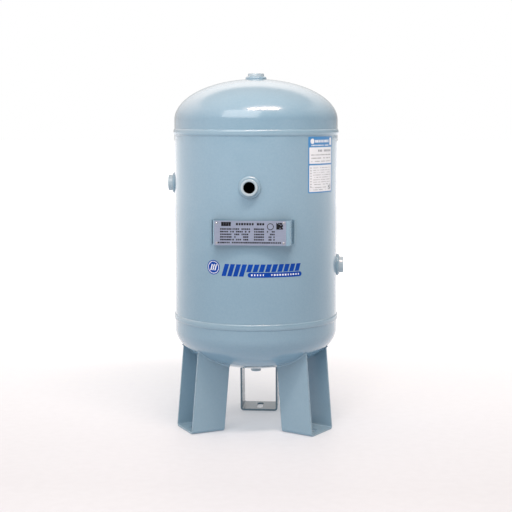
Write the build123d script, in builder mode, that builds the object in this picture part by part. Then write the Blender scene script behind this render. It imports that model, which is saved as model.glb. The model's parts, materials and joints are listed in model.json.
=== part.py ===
from build123d import *

import os
from math import cos, degrees, radians, sin, sqrt, tan

# A vertical welded air receiver on three legs. Millimetres, +Z up. The origin is on the tank's axis
# at floor level, and the front, with the nameplate, faces -Y. Azimuths are counted from the front
# towards +X.

# Pressure vessel
outer_radius = 225
wall = 4
inner_radius = outer_radius - wall
head_depth = outer_radius / 2  # 2:1 ellipse, without the straight flange
straight_flange = 32.5
lower_weld_z = 306.5
upper_weld_z = 815.5
lower_tangent_z = lower_weld_z - straight_flange
upper_tangent_z = upper_weld_z + straight_flange

# Butt welds: a V groove on a root gap, with a raised cap
root_gap = 2
root_land = 1
bevel_width = (wall - root_land) * tan(radians(30))
girth_cap_half = 8.5
girth_cap_height = 2.6
seam_azimuth = 150
seam_cap_half = 6
seam_cap_height = 1.8
backing_ring_thickness = 3
backing_ring_height = 30

# Half couplings set into the wall: G 1 air ports, and a G 1/2 drain
port_radius = 44.5 / 2
port_bore_radius = 30.29 / 2
port_length = 30
drain_radius = 28.6 / 2
drain_bore_radius = 18.632 / 2
drain_length = 24
coupling_chamfer = 1.5
port_weld_leg = 7
drain_weld_leg = 5
opening_depth = wall + 1.2  # down to where a bevelled opening is as wide as its coupling
opening_slope = tan(radians(30))
upper_port_z = 675
lower_port_z = 449
top_stand_out = 15
drain_stand_out = 15
side_ports = {  # azimuth, height, how far it stands out
    "front": (0, upper_port_z, 18),
    "left": (-90, upper_port_z, 18),
    "right": (90, lower_port_z, 18),
}

# Legs: flat strip bent into a U, open towards the axis and away from it
leg_azimuths = {"left_front": -60, "right_front": 60, "rear": 180}
leg_plate = 5
leg_width = 108
leg_bend_radius = 9
leg_inner_radius = 122
leg_strip = 96
leg_lean = 0.088  # outward, per unit of height going down
slot_width = 18
slot_length = 62
leg_weld_radius = 4.8

# Nameplate and its stand-off bracket
bracket_width = 200
bracket_height = 65
bracket_sheet = 2.5
bracket_bend_radius = 5
bracket_face_y = -(outer_radius + 10)
bracket_shift = 6
bracket_bottom_z = 525
bracket_flange_depth = 50
bracket_flange_splay = 8
bracket_slot_height = 28
bracket_slot_width = 9
bracket_weld_radius = 4
nameplate_width = 186
nameplate_height = 64
nameplate_sheet = 1
nameplate_shift = 2
nameplate_corner = 3
rivet_radius = 1.6
rivet_head_radius = 3.2
rivet_head_height = 1.4
rivet_tail = 1.5
rivet_margin = 6

# Films on the paint
film = 0.3
label_azimuth = 55
label_width = 105
label_height = 148
label_bottom_z = 657
decal_azimuth = 3
decal_length = 262
decal_badge_radius = 19
decal_badge_z = 464
decal_bars_left = 43  # along the decal, from its left end
decal_bars_top_z = 474.5
decal_bar_slant = 0.3  # sideways, per unit of height
decal_long_bars = (4, 12, 32)  # how many, width, height
decal_short_bars = (9, 12.4, 20)
decal_bar_gap = 4.2
decal_pill_length = 154
decal_pill_height = 13
decal_pill_gap = 1.5

os.makedirs("parts", exist_ok=True)


def save(piece, name):
    piece.label = name
    export_step(piece, f"parts/{name}.step")


def outward_plane(azimuth, height, radius):
    """A plane that touches the given radius at an azimuth, with its normal pointing away from the axis."""
    a = radians(azimuth)
    return Plane(
        origin=(radius * sin(a), -radius * cos(a), height),
        x_dir=(cos(a), sin(a), 0),
        z_dir=(sin(a), -cos(a), 0),
    )


def leg_plane(azimuth):
    """A plane on the floor with x pointing radially outward at the leg's azimuth."""
    a = radians(azimuth)
    return Plane(origin=(0, 0, 0), x_dir=(sin(a), -cos(a), 0), z_dir=(0, 0, 1))


def opening(surface_plane, radius):
    """The bevelled opening for a coupling: a cone that is as wide as the coupling at its inner end."""
    height = opening_depth + 1
    with BuildPart(surface_plane.offset(-opening_depth)) as cutter:
        Cone(
            radius,
            radius + height * opening_slope,
            height,
            align=(Align.CENTER, Align.CENTER, Align.MIN),
        )
    return cutter.part


# The whole outer body as one solid, used to cut other pieces to its contour
with BuildPart() as outer_body:
    with BuildSketch(Plane.XZ):
        with BuildLine():
            Line((0, lower_tangent_z - head_depth), (0, upper_tangent_z + head_depth))
            EllipticalCenterArc((0, upper_tangent_z), outer_radius, head_depth, 0)
            Line((outer_radius, upper_tangent_z), (outer_radius, lower_tangent_z))
            EllipticalCenterArc((0, lower_tangent_z), outer_radius, head_depth, 270)
        make_face()
    revolve(axis=Axis.Z)

# Shell: one rolled plate with its ends bevelled for the girth welds
shell_bottom_z = lower_weld_z + root_gap / 2
shell_top_z = upper_weld_z - root_gap / 2
with BuildPart() as shell_ring:
    with BuildSketch(Plane.XZ):
        with BuildLine():
            Polyline(
                (inner_radius, shell_bottom_z),
                (inner_radius + root_land, shell_bottom_z),
                (outer_radius, shell_bottom_z + bevel_width),
                (outer_radius, shell_top_z - bevel_width),
                (inner_radius + root_land, shell_top_z),
                (inner_radius, shell_top_z),
                close=True,
            )
        make_face()
    revolve(axis=Axis.Z)

# The long seam's V groove, opening outwards
with BuildPart() as seam_groove:
    with BuildSketch(Plane.XY.offset(shell_bottom_z).rotated((0, 0, seam_azimuth))):
        with BuildLine():
            Polyline(
                (-root_gap / 2, -inner_radius + wall),
                (-root_gap / 2, -inner_radius - root_land),
                (-root_gap / 2 - bevel_width, -outer_radius - 1),
                (root_gap / 2 + bevel_width, -outer_radius - 1),
                (root_gap / 2, -inner_radius - root_land),
                (root_gap / 2, -inner_radius + wall),
                close=True,
            )
        make_face()
    extrude(amount=shell_top_z - shell_bottom_z)

with BuildPart() as shell:
    add(shell_ring.part)
    add(seam_groove.part, mode=Mode.SUBTRACT)
    for azimuth, height, stand_out in side_ports.values():
        cutter = opening(outward_plane(azimuth, height, outer_radius), port_radius)
        add(cutter, mode=Mode.SUBTRACT)
save(shell.part, "shell")

# Long seam weld: the filled groove, with a cap that stops at the girth welds
with BuildPart() as seam_fill:
    add(shell_ring.part)
    add(seam_groove.part, mode=Mode.INTERSECT)

with BuildPart() as long_seam_weld:
    seam_cap_bottom_z = lower_weld_z + girth_cap_half
    seam_cap_top_z = upper_weld_z - girth_cap_half
    with BuildSketch(Plane.XY.offset(seam_cap_bottom_z).rotated((0, 0, seam_azimuth))):
        with BuildLine():
            edge_y = -sqrt(outer_radius**2 - seam_cap_half**2)
            ThreePointArc(
                (-seam_cap_half, edge_y),
                (0, -outer_radius - seam_cap_height),
                (seam_cap_half, edge_y),
            )
            ThreePointArc(
                (-seam_cap_half, edge_y),
                (0, -outer_radius),
                (seam_cap_half, edge_y),
            )
        make_face()
    extrude(amount=seam_cap_top_z - seam_cap_bottom_z)
    add(seam_fill.part)
save(long_seam_weld.part, "long_seam_weld")


def dished_head(tangent_z, way, cutter):
    """A 2:1 elliptical head with a straight flange, bevelled at its edge; way is 1 up or -1 down."""
    edge_z = tangent_z - way * (straight_flange - root_gap / 2)
    with BuildPart() as head:
        with BuildSketch(Plane.XZ):
            with BuildLine():
                start = 0 if way > 0 else 270
                EllipticalCenterArc((0, tangent_z), outer_radius, head_depth, start)
                EllipticalCenterArc((0, tangent_z), inner_radius, head_depth - wall, start)
                Line((0, tangent_z + way * (head_depth - wall)), (0, tangent_z + way * head_depth))
                Polyline(
                    (inner_radius, tangent_z),
                    (inner_radius, edge_z),
                    (inner_radius + root_land, edge_z),
                    (outer_radius, edge_z + way * bevel_width),
                    (outer_radius, tangent_z),
                )
            make_face()
        revolve(axis=Axis.Z)
        add(cutter, mode=Mode.SUBTRACT)
    return head.part


top_plane = Plane.XY.offset(upper_tangent_z + head_depth)
drain_plane = Plane(origin=(0, 0, lower_tangent_z - head_depth), x_dir=(1, 0, 0), z_dir=(0, 0, -1))
upper_head = dished_head(upper_tangent_z, 1, opening(top_plane, port_radius))
lower_head = dished_head(lower_tangent_z, -1, opening(drain_plane, drain_radius))
save(upper_head, "upper_head")
save(lower_head, "lower_head")


def girth_weld(weld_z):
    """The V groove all round between shell and head, filled and capped."""
    root_half = root_gap / 2
    groove_half = root_half + bevel_width
    with BuildPart() as weld:
        with BuildSketch(Plane.XZ):
            with BuildLine():
                Polyline(
                    (outer_radius, weld_z - girth_cap_half),
                    (outer_radius, weld_z - groove_half),
                    (inner_radius + root_land, weld_z - root_half),
                    (inner_radius, weld_z - root_half),
                    (inner_radius, weld_z + root_half),
                    (inner_radius + root_land, weld_z + root_half),
                    (outer_radius, weld_z + groove_half),
                    (outer_radius, weld_z + girth_cap_half),
                )
                ThreePointArc(
                    (outer_radius, weld_z - girth_cap_half),
                    (outer_radius + girth_cap_height, weld_z),
                    (outer_radius, weld_z + girth_cap_half),
                )
            make_face()
        revolve(axis=Axis.Z)
    return weld.part


def backing_ring(weld_z):
    """A flat ring inside the joint, which carries the root of the girth weld."""
    with BuildPart() as ring:
        with BuildSketch(Plane.XY.offset(weld_z - backing_ring_height / 2)):
            Circle(inner_radius)
            Circle(inner_radius - backing_ring_thickness, mode=Mode.SUBTRACT)
        extrude(amount=backing_ring_height)
    return ring.part


for level, weld_z in {"upper": upper_weld_z, "lower": lower_weld_z}.items():
    save(girth_weld(weld_z), f"{level}_girth_weld")
    save(backing_ring(weld_z), f"{level}_backing_ring")


def coupling(face_plane, radius, bore_radius, length):
    """A half coupling, its outer face on the plane, chamfered at the rim and at both ends of the bore."""
    with BuildPart() as socket:
        with BuildSketch(face_plane):
            Circle(radius)
            Circle(bore_radius, mode=Mode.SUBTRACT)
        extrude(amount=-length)
        chamfer(socket.edges().filter_by(GeomType.CIRCLE), coupling_chamfer)
    return socket.part


def coupling_weld(surface_plane, radius, leg, host):
    """The weld round a coupling: it fills the bevelled opening and ends in a fillet on the host's surface."""
    sink = 2.6
    blunt = 0.5
    x_dir = surface_plane.x_dir
    with BuildPart() as weld:
        with BuildSketch(Plane(surface_plane.origin, x_dir=x_dir, z_dir=-surface_plane.y_dir)):
            Polygon(
                (radius, -opening_depth),
                (radius + (opening_depth - sink) * opening_slope, -sink),
                (radius + leg + sink, -sink),
                (radius + blunt, leg - blunt),
                (radius, leg - blunt),
                align=None,
            )
        revolve(axis=Axis(surface_plane.origin, surface_plane.z_dir))
        add(host, mode=Mode.SUBTRACT)
    return weld.part


for side, (azimuth, height, stand_out) in side_ports.items():
    surface = outward_plane(azimuth, height, outer_radius)
    port = coupling(surface.offset(stand_out), port_radius, port_bore_radius, port_length)
    save(port, f"{side}_port")
    save(coupling_weld(surface, port_radius, port_weld_leg, shell.part), f"{side}_port_weld")

top_port = coupling(top_plane.offset(top_stand_out), port_radius, port_bore_radius, port_length)
drain_face = drain_plane.offset(drain_stand_out)
drain_port = coupling(drain_face, drain_radius, drain_bore_radius, drain_length)
save(top_port, "top_port")
save(coupling_weld(top_plane, port_radius, port_weld_leg, upper_head), "top_port_weld")
save(drain_port, "drain_port")
save(coupling_weld(drain_plane, drain_radius, drain_weld_leg, lower_head), "drain_port_weld")


def leg_outline(azimuth, half_width):
    """The leaning block that holds a leg: a parallelogram seen from the side, symmetric about the leg."""
    base = leg_plane(azimuth)
    foot_outer = leg_inner_radius + leg_strip
    lean = leg_lean * lower_tangent_z
    with BuildPart() as block:
        with BuildSketch(Plane(origin=base.origin, x_dir=base.x_dir, z_dir=-base.y_dir)):
            Polygon(
                (leg_inner_radius, 0),
                (foot_outer, 0),
                (foot_outer - lean, lower_tangent_z),
                (leg_inner_radius - lean, lower_tangent_z),
                align=None,
            )
        extrude(amount=half_width, both=True)
    return block.part


def leg(azimuth):
    """A strip bent into a U, leaning outward, with its tops cut to the head and a slot in its foot."""
    base = leg_plane(azimuth)
    half = leg_width / 2
    with BuildPart() as strap:
        with BuildSketch(Plane(origin=base.origin, x_dir=base.y_dir, z_dir=base.x_dir)):
            with BuildLine():
                FilletPolyline(
                    (-half, lower_tangent_z),
                    (-half, 0),
                    (half, 0),
                    (half, lower_tangent_z),
                    radius=leg_bend_radius,
                )
                offset(amount=leg_plate, side=Side.LEFT)
            make_face()
        extrude(amount=leg_inner_radius + leg_strip)
        add(leg_outline(azimuth, half), mode=Mode.INTERSECT)
        with BuildSketch(base):
            with Locations((leg_inner_radius + leg_strip / 2, 0)):
                SlotOverall(slot_length, slot_width)
        extrude(amount=2 * leg_plate, mode=Mode.SUBTRACT)
        add(outer_body.part, mode=Mode.SUBTRACT)
    return strap.part


def leg_weld(azimuth, leg_part):
    """Fillet welds along the outside of both side plates, where they meet the lower head."""
    base = leg_plane(azimuth)
    half = leg_width / 2
    section = sqrt(1 - (half / outer_radius) ** 2)
    with BuildPart() as beads:
        for side in (-1, 1):
            origin = base.origin + base.y_dir * side * half
            sheet = Plane(origin=origin, x_dir=base.x_dir, z_dir=-base.y_dir)
            with BuildLine(sheet) as path:
                EllipticalCenterArc(
                    (0, lower_tangent_z),
                    outer_radius * section,
                    head_depth * section,
                    280,
                    arc_size=60,
                )
            with BuildSketch(Plane(origin=path.line @ 0, z_dir=path.line % 0)):
                Circle(leg_weld_radius)
            sweep()
        add(leg_outline(azimuth, half + leg_weld_radius), mode=Mode.INTERSECT)
        add(outer_body.part, mode=Mode.SUBTRACT)
        add(leg_part, mode=Mode.SUBTRACT)
    return beads.part


for place, azimuth in leg_azimuths.items():
    leg_part = leg(azimuth)
    save(leg_part, f"{place}_leg")
    save(leg_weld(azimuth, leg_part), f"{place}_leg_weld")

# Nameplate bracket: one sheet bent back at both ends, its flanges cut to the shell and slotted
bracket_left = bracket_shift - bracket_width / 2
bracket_right = bracket_shift + bracket_width / 2
splay = bracket_flange_depth * tan(radians(bracket_flange_splay))
bracket_middle_z = bracket_bottom_z + bracket_height / 2
slot_y = bracket_face_y + 0.42 * bracket_flange_depth
rivet_spread_x = nameplate_width - 2 * rivet_margin
rivet_spread_z = nameplate_height - 2 * rivet_margin
rivet_centres = GridLocations(rivet_spread_x, rivet_spread_z, 2, 2)


def upright(middle_x, y, middle_z):
    """A plane that faces the front at the given depth, with x to the right and y up."""
    return Plane(origin=(middle_x, y, middle_z), x_dir=(1, 0, 0), z_dir=(0, -1, 0))


with BuildPart() as nameplate_bracket:
    with BuildSketch(Plane.XY.offset(bracket_bottom_z)):
        with BuildLine():
            FilletPolyline(
                (bracket_left - splay, bracket_face_y + bracket_flange_depth),
                (bracket_left, bracket_face_y),
                (bracket_right, bracket_face_y),
                (bracket_right + splay, bracket_face_y + bracket_flange_depth),
                radius=bracket_bend_radius,
            )
            offset(amount=bracket_sheet, side=Side.LEFT)
        make_face()
    extrude(amount=bracket_height)
    add(outer_body.part, mode=Mode.SUBTRACT)
    for edge_x, way in ((bracket_left, -1), (bracket_right, 1)):
        reach = (slot_y - bracket_face_y) * tan(radians(bracket_flange_splay))
        turn = radians(bracket_flange_splay)
        with BuildSketch(
            Plane(
                origin=(edge_x + way * reach, slot_y, bracket_middle_z),
                x_dir=(0, 0, 1),
                z_dir=(way * cos(turn), -sin(turn), 0),
            )
        ):
            SlotOverall(bracket_slot_height, bracket_slot_width)
        extrude(amount=2 * bracket_sheet, both=True, mode=Mode.SUBTRACT)
    with BuildSketch(upright(nameplate_shift, bracket_face_y, bracket_middle_z)):
        with rivet_centres:
            Circle(rivet_radius)
    extrude(amount=-2 * bracket_sheet, mode=Mode.SUBTRACT)
save(nameplate_bracket.part, "nameplate_bracket")


def flange_foot(edge_x, way):
    """Where a flange's outer face meets the shell, on a line from the bend at the bracket's edge."""
    bend = Vector(edge_x, bracket_face_y)
    turn = radians(bracket_flange_splay)
    along = Vector(way * sin(turn), cos(turn))
    near = -bend.dot(along)
    return bend + along * (near - sqrt(near**2 - bend.length**2 + outer_radius**2))


# A bead down the outside of each bracket flange
with BuildPart() as nameplate_bracket_welds:
    for edge_x, way in ((bracket_left, -1), (bracket_right, 1)):
        corner = flange_foot(edge_x, way)
        with BuildSketch(Plane.XY.offset(bracket_bottom_z)):
            with Locations((corner.X + way * bracket_sheet, corner.Y)):
                Circle(bracket_weld_radius)
        extrude(amount=bracket_height)
    add(outer_body.part, mode=Mode.SUBTRACT)
    add(nameplate_bracket.part, mode=Mode.SUBTRACT)
save(nameplate_bracket_welds.part, "nameplate_bracket_welds")

with BuildPart() as nameplate:
    with BuildSketch(upright(nameplate_shift, bracket_face_y, bracket_middle_z)):
        RectangleRounded(nameplate_width, nameplate_height, nameplate_corner)
        with rivet_centres:
            Circle(rivet_radius, mode=Mode.SUBTRACT)
    extrude(amount=nameplate_sheet)
save(nameplate.part, "nameplate")

# Four blind rivets: a shank through both sheets, a domed head in front and a set tail behind
with BuildPart() as nameplate_rivets:
    front_y = bracket_face_y - nameplate_sheet
    shank = nameplate_sheet + bracket_sheet
    with BuildSketch(upright(nameplate_shift, front_y, bracket_middle_z)):
        with rivet_centres:
            Circle(rivet_radius)
    extrude(amount=-shank)
    with BuildSketch(upright(nameplate_shift, front_y, bracket_middle_z)):
        with rivet_centres:
            Circle(rivet_head_radius)
    extrude(amount=rivet_head_height, taper=30)
    with BuildSketch(upright(nameplate_shift, front_y + shank, bracket_middle_z)):
        with rivet_centres:
            Circle(rivet_radius * 1.4)
    extrude(amount=-rivet_tail)
save(nameplate_rivets.part, "nameplate_rivets")


def wrapped_strip(azimuth, length, bottom_z, height):
    """A thin sheet on the shell's paint, bent round it: length along the surface, height upright."""
    sweep_angle = degrees(length / outer_radius)
    start = azimuth - 90 - sweep_angle / 2
    with BuildPart() as strip:
        with BuildSketch(Plane.XY.offset(bottom_z)):
            with BuildLine():
                inner_arc = CenterArc((0, 0), outer_radius, start, sweep_angle)
                outer_arc = CenterArc((0, 0), outer_radius + film, start, sweep_angle)
                Line(inner_arc @ 0, outer_arc @ 0)
                Line(inner_arc @ 1, outer_arc @ 1)
            make_face()
        extrude(amount=height)
    return strip.part


save(wrapped_strip(label_azimuth, label_width, label_bottom_z, label_height), "info_label")

# The blue decal: a round badge, a row of slanted bars, long ones and then short ones, and a pill
decal_strip_top_z = decal_badge_z + decal_badge_radius + 1
decal_strip_bottom_z = decal_bars_top_z - decal_long_bars[2] - 3
pill_middle_z = decal_bars_top_z - decal_short_bars[2] - decal_pill_gap - decal_pill_height / 2


def decal_x(along):
    """Where a distance along the decal, from its left end, lies across the front of the shell."""
    turn = radians(decal_azimuth) + (along - decal_length / 2) / outer_radius
    return outer_radius * sin(turn)


def slanted_bar(left, width, height):
    """A bar hanging from the row's top line, starting at a distance along the decal."""
    low = decal_bars_top_z - height
    slant = decal_bar_slant * height
    Polygon(
        (decal_x(left), low),
        (decal_x(left + width), low),
        (decal_x(left + width + slant), decal_bars_top_z),
        (decal_x(left + slant), decal_bars_top_z),
        align=None,
    )


with BuildPart() as front_decal:
    with BuildSketch(upright(0, -outer_radius - 1, 0)):
        with Locations((decal_x(decal_badge_radius), decal_badge_z)):
            Circle(decal_badge_radius)
        left = decal_bars_left
        for count, width, height in (decal_long_bars, decal_short_bars):
            for number in range(count):
                slanted_bar(left, width, height)
                left += width + decal_bar_gap
        pill_left = decal_x(decal_length - decal_pill_length)
        pill_right = decal_x(decal_length)
        with Locations(((pill_left + pill_right) / 2, pill_middle_z)):
            SlotOverall(pill_right - pill_left, decal_pill_height)
    extrude(amount=-outer_radius / 3)
    add(
        wrapped_strip(
            decal_azimuth,
            decal_length + 1,
            decal_strip_bottom_z,
            decal_strip_top_z - decal_strip_bottom_z,
        ),
        mode=Mode.INTERSECT,
    )
save(front_decal.part, "front_decal")
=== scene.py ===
"""A vertical welded air receiver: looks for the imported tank. Metres, +Z up, front along -Y."""

import json
from math import cos, pi, radians, sin, sqrt

import bmesh
import bpy
from mathutils import Matrix, Vector


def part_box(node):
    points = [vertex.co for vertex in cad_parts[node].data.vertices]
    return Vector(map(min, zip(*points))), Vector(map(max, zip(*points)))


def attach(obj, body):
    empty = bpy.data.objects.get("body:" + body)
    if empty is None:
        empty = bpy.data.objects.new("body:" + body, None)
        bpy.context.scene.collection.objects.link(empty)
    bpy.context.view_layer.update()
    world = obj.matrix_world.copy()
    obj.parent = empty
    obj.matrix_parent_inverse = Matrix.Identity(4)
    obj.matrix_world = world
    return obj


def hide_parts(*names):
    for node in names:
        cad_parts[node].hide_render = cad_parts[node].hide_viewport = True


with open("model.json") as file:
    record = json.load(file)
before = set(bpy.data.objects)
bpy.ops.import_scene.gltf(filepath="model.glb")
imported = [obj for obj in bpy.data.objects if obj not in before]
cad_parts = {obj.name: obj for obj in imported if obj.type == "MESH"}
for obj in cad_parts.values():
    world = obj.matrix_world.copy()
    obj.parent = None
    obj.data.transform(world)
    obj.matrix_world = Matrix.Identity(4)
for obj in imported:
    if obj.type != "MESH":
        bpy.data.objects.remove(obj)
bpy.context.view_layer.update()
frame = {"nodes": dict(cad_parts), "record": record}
scene = bpy.context.scene
mm = 0.001

# The vessel, as the frame gives it
shell_low, shell_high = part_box("shell")
tank_radius = (shell_high.x - shell_low.x) / 2
head_depth = tank_radius / 2
straight_flange = 32.5 * mm
# enamel stops and bare steel starts between these depths in the wall
inner_skin = (2.2 * mm, 1.6 * mm)
weld_low, weld_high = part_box("upper_girth_weld")
upper_weld_z = (weld_low.z + weld_high.z) / 2
girth_half_width = (weld_high.z - weld_low.z) / 2
girth_cap_height = weld_high.x - tank_radius
weld_low, weld_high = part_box("lower_girth_weld")
lower_weld_z = (weld_low.z + weld_high.z) / 2
upper_tangent_z = upper_weld_z + straight_flange
lower_tangent_z = lower_weld_z - straight_flange
mounts = {mount["name"]: mount for mount in frame["record"]["mounts"]}


def make_camera():
    """A long lens, a little right of the front and tipped down from just under the top weld."""
    lens = bpy.data.cameras.new("camera")
    lens.sensor_width = 36
    lens.lens = 82.7
    lens.shift_y = -0.05
    camera = bpy.data.objects.new("camera", lens)
    scene.collection.objects.link(camera)
    away, turn, height, tip = 3.26, radians(4.21), 0.854, radians(5.463)
    camera.location = (away * sin(turn), -away * cos(turn), height)
    camera.rotation_euler = (pi / 2 - tip, 0, turn)
    scene.camera = camera


make_camera()


# Node and colour helpers


def tone(code):
    """An sRGB hex colour as linear red, green, blue and alpha."""
    parts = [int(code[i : i + 2], 16) / 255 for i in (1, 3, 5)]
    return [p / 12.92 if p <= 0.04045 else ((p + 0.055) / 1.055) ** 2.4 for p in parts] + [1.0]


def add(tree, kind, inputs=None, **settings):
    """Adds a node, makes its settings, and sets each input or links it to another node's output."""
    made = tree.nodes.new(kind)
    for name, value in settings.items():
        setattr(made, name, value)
    for name, value in (inputs or {}).items():
        if isinstance(value, bpy.types.NodeSocket):
            tree.links.new(value, made.inputs[name])
        else:
            made.inputs[name].default_value = value
    return made


def finish_material(name, **sockets):
    """A new material with one surface shader, its plain numbers set on the shader's own sockets."""
    material = bpy.data.materials.new(name)
    material.use_nodes = True
    tree = material.node_tree
    tree.nodes.clear()
    surface = add(tree, "ShaderNodeBsdfPrincipled")
    for socket, value in sockets.items():
        surface.inputs[socket.replace("_", " ")].default_value = value
    add(tree, "ShaderNodeOutputMaterial", {"Surface": surface.outputs[0]})
    return material, tree, surface


def shade(tree, surface, colour=None, roughness=None, normal=None, metallic=None):
    """Links the patterns to the surface shader."""
    for socket, value in (
        ("Base Color", colour),
        ("Roughness", roughness),
        ("Normal", normal),
        ("Metallic", metallic),
    ):
        if value is not None:
            tree.links.new(value, surface.inputs[socket])


# Materials


def sprayed_enamel(name, thin, thick, edge_chips_and_shade, peel_depth, coat, chips_and_shade_from=0.42):
    """Stoved alkyd enamel, sprayed over blasted steel: a wet-looking grey-blue skin. The eye sees sharp
    reflections that ripple a little (orange peel), faint clouds where the coat is thicker, fine dust
    nibs, and on sharp edges a thinner, darker film with small chips. The vessel's inside is unpainted.
    A lower threshold leaves fewer gaps between the chips, so that an edge is dark all along: on the rear
    leg this dark edge is painted shade, not wear."""
    material, tree, surface = finish_material(
        name, IOR=1.5, Coat_Weight=coat, Coat_Roughness=0.05, Coat_IOR=1.5
    )
    coords = add(tree, "ShaderNodeTexCoord").outputs["Object"]
    # coat thickness drifts over about 150 mm, the width of a spray fan
    clouds = add(tree, "ShaderNodeTexNoise", {"Vector": coords, "Scale": 1 / 0.15, "Detail": 3.0})
    paint = add(
        tree,
        "ShaderNodeMix",
        {0: clouds.outputs["Fac"], 6: tone(thin), 7: tone(thick)},
        data_type="RGBA",
    )
    # dust nibs and fine mottling, drawn at 5 mm, since the real 1 mm nibs are too fine to show
    nibs = add(tree, "ShaderNodeTexNoise", {"Vector": coords, "Scale": 1 / 0.005, "Detail": 2.0})
    mottle = add(
        tree, "ShaderNodeMapRange", {"Value": nibs.outputs["Fac"], 1: 0.3, 2: 0.7, 3: 0.0, 4: 0.06}
    )
    paint = add(
        tree,
        "ShaderNodeMix",
        {0: mottle.outputs[0], 6: paint.outputs[2], 7: tone("#B9CBD6")},
        data_type="RGBA",
    )
    colour = paint.outputs[2]
    # edge wear, and on the rear leg painted shade: edges darken where a 2 mm rounding would turn the
    # normal, broken up by a 9 mm noise
    if edge_chips_and_shade:
        eased = add(tree, "ShaderNodeBevel", {"Radius": 2 * mm}, samples=4)
        flat = add(tree, "ShaderNodeNewGeometry")
        along = add(
            tree,
            "ShaderNodeVectorMath",
            {0: eased.outputs[0], 1: flat.outputs["Normal"]},
            operation="DOT_PRODUCT",
        )
        chips = add(tree, "ShaderNodeTexNoise", {"Vector": coords, "Scale": 1 / 0.009, "Detail": 4.0})
        patch = add(
            tree,
            "ShaderNodeMapRange",
            {"Value": chips.outputs["Fac"], 1: chips_and_shade_from, 2: chips_and_shade_from + 0.18},
        )
        edge = add(tree, "ShaderNodeMapRange", {"Value": along.outputs["Value"], 1: 0.98, 2: 0.86})
        chips_and_shade_mask = add(
            tree, "ShaderNodeMath", {0: edge.outputs[0], 1: patch.outputs[0]}, operation="MULTIPLY"
        )
        chips_and_shade_mask = add(tree, "ShaderNodeMath", {0: chips_and_shade_mask.outputs[0], 1: edge_chips_and_shade}, operation="MULTIPLY")
        colour = add(
            tree, "ShaderNodeMix", {0: chips_and_shade_mask.outputs[0], 6: colour, 7: tone("#3F4A50")}, data_type="RGBA"
        ).outputs[2]
    # inside the vessel's wall: mill scale and flash rust, by the distance from a 2:1 elliptical form
    parts = add(tree, "ShaderNodeSeparateXYZ", {0: coords})
    above = add(
        tree, "ShaderNodeMath", {0: parts.outputs["Z"], 1: upper_tangent_z}, operation="SUBTRACT"
    )
    below = add(
        tree, "ShaderNodeMath", {0: lower_tangent_z, 1: parts.outputs["Z"]}, operation="SUBTRACT"
    )
    past = add(tree, "ShaderNodeMath", {0: above.outputs[0], 1: below.outputs[0]}, operation="MAXIMUM")
    past = add(tree, "ShaderNodeMath", {0: past.outputs[0], 1: 0.0}, operation="MAXIMUM")
    past = add(tree, "ShaderNodeMath", {0: past.outputs[0], 1: 2.0}, operation="MULTIPLY")
    form = add(
        tree, "ShaderNodeCombineXYZ", {0: parts.outputs["X"], 1: parts.outputs["Y"], 2: past.outputs[0]}
    )
    reach = add(tree, "ShaderNodeVectorMath", {0: form.outputs[0]}, operation="LENGTH")
    inside = add(
        tree,
        "ShaderNodeMapRange",
        {
            "Value": reach.outputs["Value"],
            1: tank_radius - inner_skin[0],
            2: tank_radius - inner_skin[1],
            3: 1.0,
            4: 0.0,
        },
    )
    colour = add(
        tree, "ShaderNodeMix", {0: inside.outputs[0], 6: colour, 7: tone("#2A2725")}, data_type="RGBA"
    ).outputs[2]
    gloss = add(
        tree, "ShaderNodeMapRange", {"Value": clouds.outputs["Fac"], 1: 0.3, 2: 0.7, 3: 0.2, 4: 0.27}
    )
    rough = add(
        tree,
        "ShaderNodeMath",
        {0: inside.outputs[0], 1: 0.5, 2: gloss.outputs[0]},
        operation="MULTIPLY_ADD",
    )
    # orange peel: about 8 mm from crest to crest here, real peel being 2 to 5 mm
    peel = add(tree, "ShaderNodeTexNoise", {"Vector": coords, "Scale": 1 / 0.008, "Detail": 1.0})
    roll = add(tree, "ShaderNodeTexNoise", {"Vector": coords, "Scale": 1 / 0.06, "Detail": 1.0})
    height = add(
        tree,
        "ShaderNodeMath",
        {0: roll.outputs["Fac"], 1: 4.0, 2: peel.outputs["Fac"]},
        operation="MULTIPLY_ADD",
    )
    bump = add(
        tree, "ShaderNodeBump", {"Height": height.outputs[0], "Strength": 0.35, "Distance": peel_depth}
    )
    shade(tree, surface, colour, rough.outputs[0], bump.outputs[0])
    tree.links.new(bump.outputs[0], surface.inputs["Coat Normal"])
    return material


def brushed_metal(name, dark, light, grain, stretch, roughness):
    """Rolled or drawn metal: fine streaks along its working direction, which smear reflections into
    a soft sheen, with slow patches where handling has dulled it."""
    material, tree, surface = finish_material(name, Metallic=1.0)
    coords = add(tree, "ShaderNodeTexCoord").outputs["Object"]
    lie = add(tree, "ShaderNodeMapping", {"Vector": coords, "Scale": stretch})
    streak = add(
        tree, "ShaderNodeTexNoise", {"Vector": lie.outputs[0], "Scale": 1 / grain, "Detail": 3.0}
    )
    patch = add(tree, "ShaderNodeTexNoise", {"Vector": coords, "Scale": 1 / 0.03, "Detail": 2.0})
    colour = add(
        tree,
        "ShaderNodeMix",
        {0: streak.outputs["Fac"], 6: tone(dark), 7: tone(light)},
        data_type="RGBA",
    )
    rough = add(
        tree,
        "ShaderNodeMapRange",
        {"Value": patch.outputs["Fac"], 1: 0.3, 2: 0.7, 3: roughness - 0.05, 4: roughness + 0.08},
    )
    bump = add(
        tree, "ShaderNodeBump", {"Height": streak.outputs["Fac"], "Strength": 0.3, "Distance": 0.0001}
    )
    shade(tree, surface, colour.outputs[2], rough.outputs[0], bump.outputs[0])
    return material


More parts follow.
